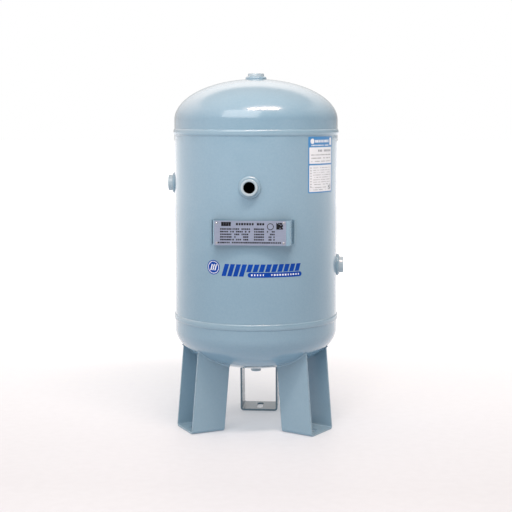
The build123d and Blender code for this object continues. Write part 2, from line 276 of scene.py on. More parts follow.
def printed_film(name, dark, light, roughness, coat, shine=0.5):
    """Self-adhesive film or screen ink: an even colour with faint density drift, a smooth satin face,
    and light scuffs of about 4 mm where cloths and hands have wiped it. Matt inks have a low shine."""
    material, tree, surface = finish_material(
        name, IOR=1.48, Specular_IOR_Level=shine, Coat_Weight=coat, Coat_Roughness=0.12
    )
    coords = add(tree, "ShaderNodeTexCoord").outputs["Object"]
    drift = add(tree, "ShaderNodeTexNoise", {"Vector": coords, "Scale": 1 / 0.03, "Detail": 3.0})
    colour = add(
        tree,
        "ShaderNodeMix",
        {0: drift.outputs["Fac"], 6: tone(dark), 7: tone(light)},
        data_type="RGBA",
    )
    scuff = add(tree, "ShaderNodeTexNoise", {"Vector": coords, "Scale": 1 / 0.004, "Detail": 4.0})
    rough = add(
        tree,
        "ShaderNodeMapRange",
        {"Value": scuff.outputs["Fac"], 1: 0.35, 2: 0.7, 3: roughness, 4: roughness + 0.12},
    )
    bump = add(
        tree, "ShaderNodeBump", {"Height": scuff.outputs["Fac"], "Strength": 0.1, "Distance": 0.00005}
    )
    shade(tree, surface, colour.outputs[2], rough.outputs[0], bump.outputs[0])
    return material


# the plates: the fullest coat, which mirrors the lamps
tank_enamel = sprayed_enamel(
    "grey_blue_enamel_on_plate", "#759AB2", "#7EA1B8", edge_chips_and_shade=0, peel_depth=0.0004, coat=0.9
)
# the front legs: duller than the plates, with dark chips along the cut edges
edge_enamel = sprayed_enamel(
    "grey_blue_enamel_on_cut_edges", "#80A2B7", "#89A9BD", edge_chips_and_shade=0.75, peel_depth=0.0004, coat=0.25
)
# the rear leg: darker and flatter, with its edges dark nearly all along; the darker tone and the dark
# edges are painted shade, for the tank's shadow over it; set for the front view
rear_leg_shaded_enamel = sprayed_enamel(
    "thin_enamel_on_rear_leg", "#6F8B9B", "#7791A0", 0.9, peel_depth=0.0004, coat=0.1, chips_and_shade_from=0.15
)
# the welds: a little lighter than the plates, with less orange peel
weld_enamel = sprayed_enamel(
    "grey_blue_enamel_on_welds", "#7B9EB5", "#84A6BB", edge_chips_and_shade=0, peel_depth=0.0002, coat=0.9
)
# the couplings: paler than the plates as painted light, for the bright reflection their flat faces catch
# from the front, and chipped a little at the rims; set for the front view
port_enamel_painted_light = sprayed_enamel(
    "pale_enamel_on_couplings", "#9DB5C4", "#A8BECB", edge_chips_and_shade=0.35, peel_depth=0.0003, coat=0.6
)
# cut threads: oiled steel, darkened to nearly black as painted shade, so that a bore looks deep
thread_steel_painted_shade = brushed_metal("oiled_thread_steel", "#26272A", "#3B3D40", 0.002, (1, 1, 1), 0.42)
# the rings inside the vessel: dull brown-black scale
ring_steel = brushed_metal("mill_scale_steel", "#4A4744", "#6B6762", 0.004, (1, 1, 6), 0.5)
# the nameplate: a satin sheen in fine streaks, drawn out along X
plate_aluminium = brushed_metal(
    "satin_anodised_aluminium", "#9FA9C2", "#BEC8DE", 0.0012, (0.06, 1, 1), 0.36
)
# the rivets: brighter than the plate, and the same from every side
rivet_aluminium = brushed_metal("drawn_rivet_aluminium", "#A9ABB1", "#C9CBD0", 0.0015, (1, 1, 1), 0.28)
# the nameplate's print: near black and matt
plate_ink = printed_film("dark_screen_ink", "#0C0D12", "#181A22", 0.5, 0.0, 0.2)
# the label: glossy laminate over white, light blue and grey print
white_film = printed_film("white_label_film", "#DAE4EE", "#E7EEF5", 0.3, 0.3)
label_blue = printed_film("light_blue_label_print", "#2F7DBC", "#3C8AC8", 0.3, 0.3)
label_grey = printed_film("grey_label_print", "#7D8A97", "#8F9BA7", 0.4, 0.1)
# the decal: matt vinyl, so that its blue stays deep, with glossier white details
decal_blue = printed_film("royal_blue_vinyl", "#04348E", "#0A4CB0", 0.4, 0.0, 0.15)
decal_white = printed_film("white_vinyl", "#DCE6F2", "#EAF1F8", 0.3, 0.3)


# Mesh helpers


def keep(name, mesh, slot, *replaced, material=None, smooth=30):
    """Shows a finished mesh as a piece of the object, standing for the frame's nodes named."""
    piece = bpy.data.objects.new(name, mesh)
    mesh.name = name
    scene.collection.objects.link(piece)
    if material is not None:
        mesh.materials.clear()
        mesh.materials.append(material)
    if smooth:
        mesh.shade_smooth()
        mesh.set_sharp_from_angle(angle=radians(smooth))
    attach(piece, "root")
    if replaced:
        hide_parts(*replaced)
    return piece


def turned(shape, profile, steps, matrix=None):
    """Adds a surface of revolution about Z to a bmesh, from (radius, height) points in order."""
    rings = []
    for radius, height in profile:
        ring = []
        for i in range(steps):
            point = Vector((radius * cos(2 * pi * i / steps), radius * sin(2 * pi * i / steps), height))
            ring.append(shape.verts.new(matrix @ point if matrix else point))
        rings.append(ring)
    for lower, upper in zip(rings, rings[1:]):
        for i in range(steps):
            j = (i + 1) % steps
            shape.faces.new((lower[i], lower[j], upper[j], upper[i]))


def as_mesh(shape, name, weld=0.00001):
    """Closes a bmesh: doubles merged and faces turned outwards."""
    bmesh.ops.remove_doubles(shape, verts=shape.verts, dist=weld)
    bmesh.ops.recalc_face_normals(shape, faces=shape.faces)
    mesh = bpy.data.meshes.new(name)
    shape.to_mesh(mesh)
    shape.free()
    return mesh


# Geometry node trees


def new_tree(name, *sockets):
    """A geometry node tree with named inputs. Each socket is its name and its kind."""
    tree = bpy.data.node_groups.new(name, "GeometryNodeTree")
    tree.interface.new_socket("Geometry", in_out="INPUT", socket_type="NodeSocketGeometry")
    tree.interface.new_socket("Geometry", in_out="OUTPUT", socket_type="NodeSocketGeometry")
    for label, kind in sockets + (("Material", "Material"),):
        tree.interface.new_socket(label, in_out="INPUT", socket_type="NodeSocket" + kind)
    return tree, add(tree, "NodeGroupInput").outputs


def end_tree(tree, geometry, material):
    """Every tree ends by making its instances real and setting the material."""
    real = add(tree, "GeometryNodeRealizeInstances", {0: geometry})
    made = add(tree, "GeometryNodeSetMaterial", {0: real.outputs[0], "Material": material})
    add(tree, "NodeGroupOutput", {0: made.outputs[0]})


def grown(tree, points, edges, material, **values):
    """Runs a tree on a wire of points and gives the result as a plain mesh."""
    wire = bpy.data.meshes.new("wire")
    wire.from_pydata([tuple(p) for p in points], edges, [])
    source = bpy.data.objects.new("wire", wire)
    scene.collection.objects.link(source)
    modifier = source.modifiers.new("grow", "NODES")
    modifier.node_group = tree
    values["Material"] = material
    for item in tree.interface.items_tree:
        if item.in_out == "INPUT" and item.name.replace(" ", "_") in values:
            modifier[item.identifier] = values[item.name.replace(" ", "_")]
    ready = source.evaluated_get(bpy.context.evaluated_depsgraph_get())
    mesh = bpy.data.meshes.new_from_object(ready)
    bpy.data.objects.remove(source)
    return mesh


def path_edges(count, closed):
    """The edges that join points in order."""
    return [(i, (i + 1) % count) for i in range(count if closed else count - 1)]


def bead_tree():
    """A weld bead along a path: crescent ripples one behind the other, and a width that wanders."""
    tree, given = new_tree(
        "weld_bead",
        ("Half Width", "Float"),
        ("Height", "Float"),
        ("Ripple Pitch", "Float"),
        ("Ripple Depth", "Float"),
        ("Wander", "Float"),
        ("Sides", "Int"),
        ("Seed", "Float"),
    )
    path = add(tree, "GeometryNodeMeshToCurve", {0: given["Geometry"]})
    step = add(tree, "ShaderNodeMath", {0: given["Ripple Pitch"], 1: 0.25}, operation="MULTIPLY")
    even = add(
        tree,
        "GeometryNodeResampleCurve",
        {"Curve": path.outputs[0], "Length": step.outputs[0]},
        mode="LENGTH",
    )
    place = add(tree, "GeometryNodeInputPosition")
    level = add(tree, "ShaderNodeVectorMath", {0: place.outputs[0], 1: (1, 1, 0)}, operation="MULTIPLY")
    outward = add(tree, "ShaderNodeVectorMath", {0: level.outputs[0]}, operation="NORMALIZE")
    faced = add(
        tree,
        "GeometryNodeSetCurveNormal",
        {"Curve": even.outputs[0], "Normal": outward.outputs[0]},
        mode="FREE",
    )
    travel = add(tree, "GeometryNodeSplineParameter")
    rail = add(tree, "GeometryNodeCaptureAttribute", {0: faced.outputs[0]})
    rail.capture_items.new("FLOAT", "along")
    tree.links.new(travel.outputs["Length"], rail.inputs[1])
    ring = add(tree, "GeometryNodeCurvePrimitiveCircle", {"Resolution": given["Sides"], "Radius": 1.0})
    spot = add(tree, "ShaderNodeSeparateXYZ", {0: place.outputs[0]})
    cut = add(tree, "GeometryNodeCaptureAttribute", {0: ring.outputs[0]})
    cut.capture_items.new("FLOAT", "across")
    tree.links.new(spot.outputs["Y"], cut.inputs[1])
    size = add(tree, "ShaderNodeCombineXYZ", {0: given["Height"], 1: given["Half Width"], 2: 1.0})
    section = add(tree, "GeometryNodeTransform", {0: cut.outputs[0], "Scale": size.outputs[0]})
    drift = add(
        tree,
        "ShaderNodeTexNoise",
        {"W": given["Seed"], "Vector": place.outputs[0], "Scale": 1 / 0.012, "Detail": 1.0},
        noise_dimensions="4D",
    )
    swell = add(tree, "ShaderNodeMath", {0: drift.outputs[0], 1: given["Wander"]}, operation="MULTIPLY")
    girth = add(tree, "ShaderNodeMath", {0: 1.0, 1: swell.outputs[0]}, operation="SUBTRACT")
    bead = add(
        tree,
        "GeometryNodeCurveToMesh",
        {
            "Curve": rail.outputs[0],
            "Profile Curve": section.outputs[0],
            "Scale": girth.outputs[0],
            "Fill Caps": True,
        },
    )
    # a ripple's front is bowed: it lags at the bead's edges by most of a pitch
    bow = add(tree, "ShaderNodeMath", {0: cut.outputs[1], 1: cut.outputs[1]}, operation="MULTIPLY")
    count = add(
        tree, "ShaderNodeMath", {0: rail.outputs[1], 1: given["Ripple Pitch"]}, operation="DIVIDE"
    )
    turns = add(tree, "ShaderNodeMath", {0: count.outputs[0], 1: bow.outputs[0]}, operation="ADD")
    phase = add(tree, "ShaderNodeMath", {0: turns.outputs[0], 1: 2 * pi}, operation="MULTIPLY")
    wave = add(tree, "ShaderNodeMath", {0: phase.outputs[0]}, operation="COSINE")
    dip = add(tree, "ShaderNodeMath", {0: wave.outputs[0], 1: 1.0}, operation="SUBTRACT")
    dip = add(
        tree, "ShaderNodeMath", {0: dip.outputs[0], 1: given["Ripple Depth"]}, operation="MULTIPLY"
    )
    facing = add(tree, "GeometryNodeInputNormal")
    push = add(
        tree, "ShaderNodeVectorMath", {0: facing.outputs[0], "Scale": dip.outputs[0]}, operation="SCALE"
    )
    rippled = add(tree, "GeometryNodeSetPosition", {0: bead.outputs[0], "Offset": push.outputs[0]})
    end_tree(tree, rippled.outputs[0], given["Material"])
    return tree


def thread_tree():
    """A tapped bore about Z, from the mouth downwards: a V thread cut outwards from the minor radius,
    fading out at both ends. Its seam closes because one turn is one pitch."""
    tree, given = new_tree(
        "tapped_bore",
        ("Bore Radius", "Float"),
        ("Depth", "Float"),
        ("Pitch", "Float"),
        ("Thread Height", "Float"),
        ("Start", "Float"),
        ("Columns", "Int"),
        ("Rows", "Int"),
    )
    columns = add(tree, "ShaderNodeMath", {0: given["Columns"], 1: 1.0}, operation="ADD")
    sheet = add(
        tree,
        "GeometryNodeMeshGrid",
        {"Size X": 1.0, "Size Y": 1.0, "Vertices X": columns.outputs[0], "Vertices Y": given["Rows"]},
    )
    place = add(tree, "GeometryNodeInputPosition")
    half = add(tree, "ShaderNodeVectorMath", {0: place.outputs[0], 1: (0.5, 0.5, 0)}, operation="ADD")
    part = add(tree, "ShaderNodeSeparateXYZ", {0: half.outputs[0]})
    down = add(tree, "ShaderNodeMath", {0: part.outputs["Y"], 1: given["Depth"]}, operation="MULTIPLY")
    turns = add(tree, "ShaderNodeMath", {0: down.outputs[0], 1: given["Pitch"]}, operation="DIVIDE")
    phase = add(tree, "ShaderNodeMath", {0: turns.outputs[0], 1: part.outputs["X"]}, operation="ADD")
    vee = add(tree, "ShaderNodeMath", {0: phase.outputs[0], 1: 0.5}, operation="PINGPONG")
    rest = add(tree, "ShaderNodeMath", {0: given["Depth"], 1: down.outputs[0]}, operation="SUBTRACT")
    near = add(tree, "ShaderNodeMath", {0: down.outputs[0], 1: rest.outputs[0]}, operation="MINIMUM")
    fade = add(tree, "ShaderNodeMath", {0: near.outputs[0], 1: given["Pitch"]}, operation="DIVIDE")
    fade = add(tree, "ShaderNodeMath", {0: fade.outputs[0], 1: 1.0}, operation="MINIMUM")
    cut = add(tree, "ShaderNodeMath", {0: vee.outputs[0], 1: fade.outputs[0]}, operation="MULTIPLY")
    cut = add(tree, "ShaderNodeMath", {0: cut.outputs[0], 1: 2.0}, operation="MULTIPLY")
    radius = add(
        tree,
        "ShaderNodeMath",
        {0: cut.outputs[0], 1: given["Thread Height"], 2: given["Bore Radius"]},
        operation="MULTIPLY_ADD",
    )
    angle = add(tree, "ShaderNodeMath", {0: part.outputs["X"], 1: 2 * pi}, operation="MULTIPLY")
    side = add(tree, "ShaderNodeMath", {0: angle.outputs[0]}, operation="COSINE")
    other = add(tree, "ShaderNodeMath", {0: angle.outputs[0]}, operation="SINE")
    x = add(tree, "ShaderNodeMath", {0: side.outputs[0], 1: radius.outputs[0]}, operation="MULTIPLY")
    y = add(tree, "ShaderNodeMath", {0: other.outputs[0], 1: radius.outputs[0]}, operation="MULTIPLY")
    low = add(tree, "ShaderNodeMath", {0: down.outputs[0], 1: given["Start"]}, operation="ADD")
    z = add(tree, "ShaderNodeMath", {0: low.outputs[0], 1: -1.0}, operation="MULTIPLY")
    point = add(tree, "ShaderNodeCombineXYZ", {0: x.outputs[0], 1: y.outputs[0], 2: z.outputs[0]})
    bore = add(tree, "GeometryNodeSetPosition", {0: sheet.outputs[0], "Position": point.outputs[0]})
    end_tree(tree, bore.outputs[0], given["Material"])
    return tree


def rivet_tree():
    """A domed rivet head at each point, its rim flat on the sheet and its dome facing -Y."""
    tree, given = new_tree(
        "rivet_heads",
        ("Head Radius", "Float"),
        ("Head Height", "Float"),
    )
    ball = add(tree, "GeometryNodeMeshUVSphere", {"Segments": 24, "Rings": 16, "Radius": 1.0})
    size = add(
        tree,
        "ShaderNodeCombineXYZ",
        {0: given["Head Radius"], 1: given["Head Height"], 2: given["Head Radius"]},
    )
    head = add(tree, "GeometryNodeTransform", {0: ball.outputs[0], "Scale": size.outputs[0]})
    heads = add(
        tree, "GeometryNodeInstanceOnPoints", {"Points": given["Geometry"], "Instance": head.outputs[0]}
    )
    end_tree(tree, heads.outputs[0], given["Material"])
    return tree


def print_tree():
    """Rows of small printed marks on a flat field about the origin, of random length, some left out."""
    tree, given = new_tree(
        "printed_rows",
        ("Field Width", "Float"),
        ("Field Height", "Float"),
        ("Columns", "Int"),
        ("Rows", "Int"),
        ("Mark Width", "Float"),
        ("Mark Height", "Float"),
        ("Shortest", "Float"),
        ("Share", "Float"),
        ("Ink", "Float"),
        ("Seed", "Int"),
    )
    field = add(
        tree,
        "GeometryNodeMeshGrid",
        {
            "Size X": given["Field Width"],
            "Size Y": given["Field Height"],
            "Vertices X": given["Columns"],
            "Vertices Y": given["Rows"],
        },
    )
    chosen = add(
        tree,
        "FunctionNodeRandomValue",
        {"Probability": given["Share"], "Seed": given["Seed"]},
        data_type="BOOLEAN",
    )
    length = add(
        tree,
        "FunctionNodeRandomValue",
        {2: given["Shortest"], 3: 1.0, "Seed": given["Seed"]},
        data_type="FLOAT",
    )
    size = add(
        tree, "ShaderNodeCombineXYZ", {0: given["Mark Width"], 1: given["Mark Height"], 2: given["Ink"]}
    )
    mark = add(tree, "GeometryNodeMeshCube", {"Size": size.outputs[0]})
    scale = add(tree, "ShaderNodeCombineXYZ", {0: length.outputs[1], 1: 1.0, 2: 1.0})
    marks = add(
        tree,
        "GeometryNodeInstanceOnPoints",
        {
            "Points": field.outputs[0],
            "Selection": chosen.outputs[3],
            "Instance": mark.outputs[0],
            "Scale": scale.outputs[0],
        },
    )
    end_tree(tree, marks.outputs[0], given["Material"])
    return tree


weld_bead = bead_tree()
tapped_bore = thread_tree()
rivet_heads = rivet_tree()
printed_rows = print_tree()


# The vessel's own plates keep their frame shapes, in enamel

for name in ("shell", "upper_head", "lower_head"):
    frame["nodes"][name].material_slots[0].material = tank_enamel
for name in ("upper_backing_ring", "lower_backing_ring"):
    frame["nodes"][name].material_slots[0].material = ring_steel


# Welds


def on_form(x, y, way):
    """The height of a head's outer surface over a point; way is 1 for the upper head, -1 the lower."""
    rise = head_depth * sqrt(1 - (x * x + y * y) / tank_radius**2)
    return upper_tangent_z + rise if way > 0 else lower_tangent_z - rise


def bead(name, paths, closed, half_width, height, pitch, depth, wander, seed, sides=16):
    """Lays weld beads along paths and keeps them as one piece in place of the node of that name."""
    points = []
    edges = []
    for path in paths:
        first = len(points)
        points += path
        edges += [(first + a, first + b) for a, b in path_edges(len(path), closed)]
    mesh = grown(
        weld_bead,
        points,
        edges,
        weld_enamel,
        Half_Width=half_width,
        Height=height,
        Ripple_Pitch=pitch,
        Ripple_Depth=depth,
        Wander=wander,
        Sides=sides,
        Seed=seed,
    )
    return keep(name + "_bead", mesh, "tank_enamel", name, smooth=60)


def round_path(radius, z, steps=180):
    turns = [2 * pi * i / steps for i in range(steps)]
    return [Vector((radius * cos(turn), radius * sin(turn), z)) for turn in turns]


# machine-laid girth welds: flat, even caps with fine ripples 3 mm apart
for level, z in (("upper", upper_weld_z), ("lower", lower_weld_z)):
    bead(
        level + "_girth_weld",
        [round_path(tank_radius, z)],
        True,
        girth_half_width,
        girth_cap_height,
        pitch=3 * mm,
        depth=0.1 * mm,
        wander=0.02,
        seed=1.0,
    )

# the shell's long seam, at the right rear: the same bead, run straight from one girth weld to the other
seam_azimuth = 150
seam_half_width = 6 * mm
seam_cap_height = 1.8 * mm
seam_turn = radians(seam_azimuth)
seam_way = Vector((sin(seam_turn), -cos(seam_turn), 0)) * tank_radius
seam_heights = (lower_weld_z, (lower_weld_z + upper_weld_z) / 2, upper_weld_z)
seam = [seam_way + Vector((0, 0, z)) for z in seam_heights]
bead(
    "long_seam_weld",
    [seam],
    False,
    seam_half_width,
    seam_cap_height,
    pitch=3 * mm,
    depth=0.1 * mm,
    wander=0.03,
    seed=2.0,
)


port_steps = 72
rows_a_turn = 8
port_fillet = 6.6 * mm
drain_fillet = 4 * mm


def port_frame(name):
    """A port's place: a matrix with its origin at the middle of the face and Z along the axis, and its
    outer radius and length."""
    low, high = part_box(name + "_port")
    axis = Vector(mounts[name + "_port"]["axis"])
    size = high - low
    length = abs(size.dot(axis))
    across = max(size.dot(Vector((1, 1, 1))) - length, 0) / 2
    face = (low + high) / 2 + axis * length / 2
    matrix = axis.to_track_quat("Z", "Y").to_matrix().to_4x4()
    matrix.translation = face
    return matrix, axis, across / 2, length


def port_weld_path(matrix, axis, radius):
    """A ring round a port, lying on the vessel's surface. The bead's middle stands clear of both walls."""
    path = []
    clear = 1.4 * mm
    spread = radius + clear
    for i in range(port_steps):
        turn = 2 * pi * i / port_steps
        point = matrix @ Vector((spread * cos(turn), spread * sin(turn), 0))
        if abs(axis.z) > 0.5:
            point.z = on_form(point.x, point.y, axis.z) + axis.z * clear
        elif abs(axis.x) > 0.5:
            point.x = axis.x * (sqrt(tank_radius**2 - point.y**2) + clear)
        else:
            point.y = axis.y * (sqrt(tank_radius**2 - point.x**2) + clear)
        path.append(point)
    return path


def port(name, pitch, thread_height):
    """A half coupling: a turned rim with rounded edges, and a tapped bore."""
    matrix, axis, radius, length = port_frame(name)
    bore = mounts[name + "_port"]["dims"]["r_mm"] * mm
    start = 1.8 * mm
    rim = 1.6 * mm
    mouth = bore + thread_height + 0.3 * mm
    profile = [(bore, -start), (mouth, 0)]
    for turn in (0, pi / 8, pi / 4, 3 * pi / 8, pi / 2):
        profile.append((radius - rim + rim * sin(turn), -rim + rim * cos(turn)))
    profile += [(radius, -length), (mouth, -length), (bore, start - length)]
    shape = bmesh.new()
    turned(shape, profile, port_steps)
    depth = length - 2 * start
    thread = grown(
        tapped_bore,
        [(0, 0, 0)],
        [],
        thread_steel_painted_shade,
        Bore_Radius=bore,
        Depth=depth,
        Pitch=pitch,
        Thread_Height=thread_height,
        Start=start,
        Columns=port_steps,
        Rows=int(depth / pitch * rows_a_turn) + 1,
    )
    count = len(shape.faces)
    shape.from_mesh(thread)
    shape.faces.ensure_lookup_table()
    for face in shape.faces[count:]:
        face.material_index = 1
    shape.transform(matrix)
    mesh = as_mesh(shape, name + "_coupling", 0.00002)
    mesh.materials.append(port_enamel_painted_light)
    mesh.materials.append(thread_steel_painted_shade)
    keep(name + "_coupling", mesh, "tank_enamel", name + "_port", smooth=40)
    leg = drain_fillet if name == "drain" else port_fillet
    path = port_weld_path(matrix, axis, radius)
    bead(
        name + "_port_weld",
        [path],
        True,
        leg,
        0.85 * leg,
        pitch=2.6 * mm,
        depth=0.22 * mm,
        wander=0.12,
        seed=len(name) * 3.0,
    )


# pitch and height of the 55-degree pipe thread: 11 threads to the inch in G 1, 14 in G 1/2
for name in ("top", "front", "left", "right"):
    port(name, 2.309 * mm, 1.479 * mm)
port("drain", 1.814 * mm, 1.162 * mm)


# Legs and the nameplate bracket: copies of the frame's shapes with their edges eased


def eased(name, ease):
    """A copy of a frame node's shape, its flat faces made whole and its sharp edges rounded."""
    shape = bmesh.new()
    shape.from_mesh(frame["nodes"][name].data)
    bmesh.ops.remove_doubles(shape, verts=shape.verts, dist=0.00002)
    bmesh.ops.dissolve_limit(
        shape,
        angle_limit=radians(0.4),
        verts=shape.verts,
        edges=shape.edges,
        use_dissolve_boundaries=False,
    )
    mesh = bpy.data.meshes.new(name)
    shape.to_mesh(mesh)
    shape.free()
    mesh.shade_smooth()
    mesh.set_sharp_from_angle(angle=radians(60))
    source = bpy.data.objects.new(name + "_source", mesh)
    scene.collection.objects.link(source)
    bevel = source.modifiers.new("ease", "BEVEL")
    bevel.width = ease
    bevel.segments = 2
    bevel.limit_method = "ANGLE"
    bevel.angle_limit = radians(50)
    bevel.use_clamp_overlap = True
    flat = source.modifiers.new("flat faces stay flat", "WEIGHTED_NORMAL")
    flat.weight = 100
    flat.keep_sharp = True
    ready = source.evaluated_get(bpy.context.evaluated_depsgraph_get())
    finished = bpy.data.meshes.new_from_object(ready)
    bpy.data.objects.remove(source)
    return finished


for name, finish in (
    ("left_front_leg", edge_enamel),
    ("right_front_leg", edge_enamel),
    ("rear_leg", rear_leg_shaded_enamel),
):
    keep(name + "_strap", eased(name, 0.7 * mm), "tank_enamel", name, material=finish, smooth=0)
keep(
    "nameplate_bracket_sheet",
    eased("nameplate_bracket", 0.4 * mm),
    "tank_enamel",
    "nameplate_bracket",
    material=tank_enamel,
    smooth=0,
)

# each leg's two welds: half the strap's width, how far from the axis its sides would meet the floor, and
# how much they lean in per unit of height
leg_half = 54 * mm
leg_reach = (122 * mm, 218 * mm)
leg_lean = 0.088
leg_fillet = 4.4 * mm
for name, azimuth in (("left_front_leg", -60), ("right_front_leg", 60), ("rear_leg", 180)):
    turn = radians(azimuth)
    outward = Vector((sin(turn), -cos(turn), 0))
    sideways = Vector((cos(turn), sin(turn), 0))
    ends = []
    for foot in leg_reach:
        x = foot
        for _ in range(20):
            x = foot - leg_lean * on_form(x, leg_half, -1)
        ends.append(x)
    paths = []
    spans = 24
    for side in (-1, 1):
        path = []
        for i in range(spans + 1):
            x = ends[0] + (ends[1] - ends[0]) * i / spans
            z = on_form(x, leg_half, -1)
            path.append(outward * x + sideways * side * leg_half + Vector((0, 0, z)))
        paths.append(path)
    bead(
        name + "_weld",
        paths,
        False,
        leg_fillet,
        leg_fillet,
        pitch=2.8 * mm,
        depth=0.25 * mm,
        wander=0.15,
        seed=azimuth + 200.0,
        sides=12,
    )

shape = bmesh.new()
shape.from_mesh(frame["nodes"]["nameplate_bracket_welds"].data)
low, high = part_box("nameplate_bracket_welds")
paths = []
for side in (-1, 1):
    ring = [v.co for v in shape.verts if v.co.x * side > 0]
    x = sum(p.x for p in ring) / len(ring)
    y = sum(p.y for p in ring) / len(ring)
    heights = (low.z + 1 * mm, (low.z + high.z) / 2, high.z - 1 * mm)
    paths.append([Vector((x, y + 0.8 * mm, z)) for z in heights])
shape.free()
bracket_fillet = 3.2 * mm
bead(
    "nameplate_bracket_welds",
    paths,
    False,
    bracket_fillet,
    bracket_fillet,
    pitch=2.4 * mm,
    depth=0.2 * mm,
    wander=0.12,
    seed=7.0,
    sides=12,
)


# Flat artwork: x runs along the surface, y upwards and z out of it


def rounded_box(x0, y0, x1, y1, radius, steps=5):
    """The outline of a box with rounded corners."""
    points = []
    for cx, cy, first in (
        (x1 - radius, y1 - radius, 0),
        (x0 + radius, y1 - radius, 1),
        (x0 + radius, y0 + radius, 2),
        (x1 - radius, y0 + radius, 3),
    ):
        for i in range(steps + 1):
            turn = pi / 2 * (first + i / steps)
            points.append((cx + radius * cos(turn), cy + radius * sin(turn)))
    return points


def disc(x, y, radius, steps=48):
    turns = [2 * pi * i / steps for i in range(steps)]
    return [(x + radius * cos(turn), y + radius * sin(turn)) for turn in turns]


def onto(place, mesh):
    """Moves a flat mesh's points to the surface it lies on."""
    for vertex in mesh.vertices:
        vertex.co = place(vertex.co)
    return mesh


def cut_film(outlines, low, high, place, slices=4 * mm):
    """Flat shapes from height low to high, sliced so that they can follow a curved wall."""
    shape = bmesh.new()
    for outline in outlines:
        bottom = [shape.verts.new((x, y, low)) for x, y in outline]
        top = [shape.verts.new((x, y, high)) for x, y in outline]
        count = len(outline)
        shape.faces.new(top)
        shape.faces.new(bottom[::-1])
        for i in range(count):
            j = (i + 1) % count
            shape.faces.new((bottom[i], bottom[j], top[j], top[i]))
    if slices:
        xs = [v.co.x for v in shape.verts]
        for k in range(int(min(xs) / slices) - 1, int(max(xs) / slices) + 2):
            bmesh.ops.bisect_plane(
                shape,
                geom=shape.verts[:] + shape.edges[:] + shape.faces[:],
                plane_co=(k * slices, 0, 0),
                plane_no=(1, 0, 0),
            )
    bmesh.ops.recalc_face_normals(shape, faces=shape.faces)
    mesh = bpy.data.meshes.new("film")
    shape.to_mesh(mesh)
    shape.free()
    return onto(place, mesh)


def joined(*meshes):
    """Several meshes as one."""
    shape = bmesh.new()
    for mesh in meshes:
        shape.from_mesh(mesh)
    mesh = bpy.data.meshes.new("joined")
    shape.to_mesh(mesh)
    shape.free()
    return mesh


def rows(place, ink, *fields):
    """Printed marks filling fields on a surface. Each field gives, in millimetres, its left, bottom,
    right and top and a mark's width and height, with the number of columns and lines before those two;
    then a seed, the share of places that are filled, and the shortest mark as a part of the width."""
    meshes = []
    for left, bottom, right, top, columns, lines, mark, height, seed, share, shortest in fields:
        x0, y0, x1, y1 = left * mm, bottom * mm, right * mm, top * mm
        mesh = grown(
            printed_rows,
            [(0, 0, 0)],
            [],
            plate_ink,
            Field_Width=x1 - x0,
            Field_Height=y1 - y0,
            Columns=columns,
            Rows=lines,
            Mark_Width=mark * mm,
            Mark_Height=height * mm,
            Shortest=shortest,
            Share=share,
            Ink=ink,
            Seed=seed,
        )
        middle = Vector(((x0 + x1) / 2, (y0 + y1) / 2, 0))
        for vertex in mesh.vertices:
            vertex.co = place(vertex.co + middle)
        meshes.append(mesh)
    return meshes


def wrapped(azimuth, middle_z, lift=0.0):
    """Places flat artwork on the shell, its middle at an azimuth and a height."""
    turn = radians(azimuth)

    def place(point):
        angle = turn + point.x / tank_radius
        radius = tank_radius + point.z + lift
        return Vector((radius * sin(angle), -radius * cos(angle), middle_z + point.y))

    return place


def flat_ring(x, y, inner, outer, low, high, place):
    """A printed ring."""
    shape = bmesh.new()
    profile = [(inner, low), (outer, low), (outer, high), (inner, high), (inner, low)]
    steps = 48
    turned(shape, profile, steps, Matrix.Translation((x, y, 0)))
    return onto(place, as_mesh(shape, "ring"))


# Nameplate: a satin plate with eased edges, printed marks, and four domed rivets

plate_low, plate_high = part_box("nameplate")
plate_middle = (plate_low + plate_high) / 2
plate_half = (plate_high.x - plate_low.x) / 2
plate_rise = (plate_high.z - plate_low.z) / 2


def on_plate(point):
    return Vector((plate_middle.x + point.x, plate_low.y - point.z, plate_middle.z + point.y))


plate_outline = rounded_box(-plate_half, -plate_rise, plate_half, plate_rise, 3 * mm)
plate = cut_film([plate_outline], plate_low.y - plate_high.y, 0.0, on_plate, 0)
keep("nameplate_sheet", plate, "nameplate_aluminium", "nameplate", material=plate_aluminium)
ink = 0.12 * mm
print_parts = rows(
    on_plate,
    ink,
    (-72, 20.8, -53, 26.2, 4, 2, 6.3, 5.4, 3, 1.0, 0.85),
    (-34, 23.4, 34, 23.4, 11, 1, 5.8, 6, 4, 0.95, 0.75),
    (-76, -17, -50, 10.5, 7, 5, 4.1, 3.9, 5, 0.95, 0.7),
    (-44, -17, -2, 10.5, 10, 5, 4.2, 3.9, 6, 0.5, 0.7),
    (12, -17, 34, 10.5, 6, 5, 4.1, 3.9, 7, 1.0, 0.7),
    (41, -17, 62, 4, 6, 4, 4, 3.9, 8, 0.55, 0.7),
    (-82, -24.8, 78, -24.8, 36, 1, 4.2, 3.9, 9, 0.94, 0.7),
    (69, 11, 84, 26, 8, 8, 2.2, 2.2, 17, 0.82, 0.95),
)
print_parts.append(flat_ring(52.5 * mm, 17 * mm, 7 * mm, 8.8 * mm, 0.0, ink, on_plate))
keep("nameplate_print", joined(*print_parts), "nameplate_aluminium", material=plate_ink, smooth=0)

rivet_low, rivet_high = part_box("nameplate_rivets")
head_radius = 3.2 * mm
head_height = plate_low.y - rivet_low.y
rivet_points = [
    (x, plate_low.y, z)
    for x in (rivet_low.x + head_radius, rivet_high.x - head_radius)
    for z in (rivet_low.z + head_radius, rivet_high.z - head_radius)
]
heads = grown(
    rivet_heads,
    rivet_points,
    [],
    rivet_aluminium,
    Head_Radius=head_radius,
    Head_Height=head_height,
)
keep("nameplate_rivet_heads", heads, "rivet_aluminium", "nameplate_rivets", smooth=50)


# Info label: white film with a blue header, two white panels and rows of marks

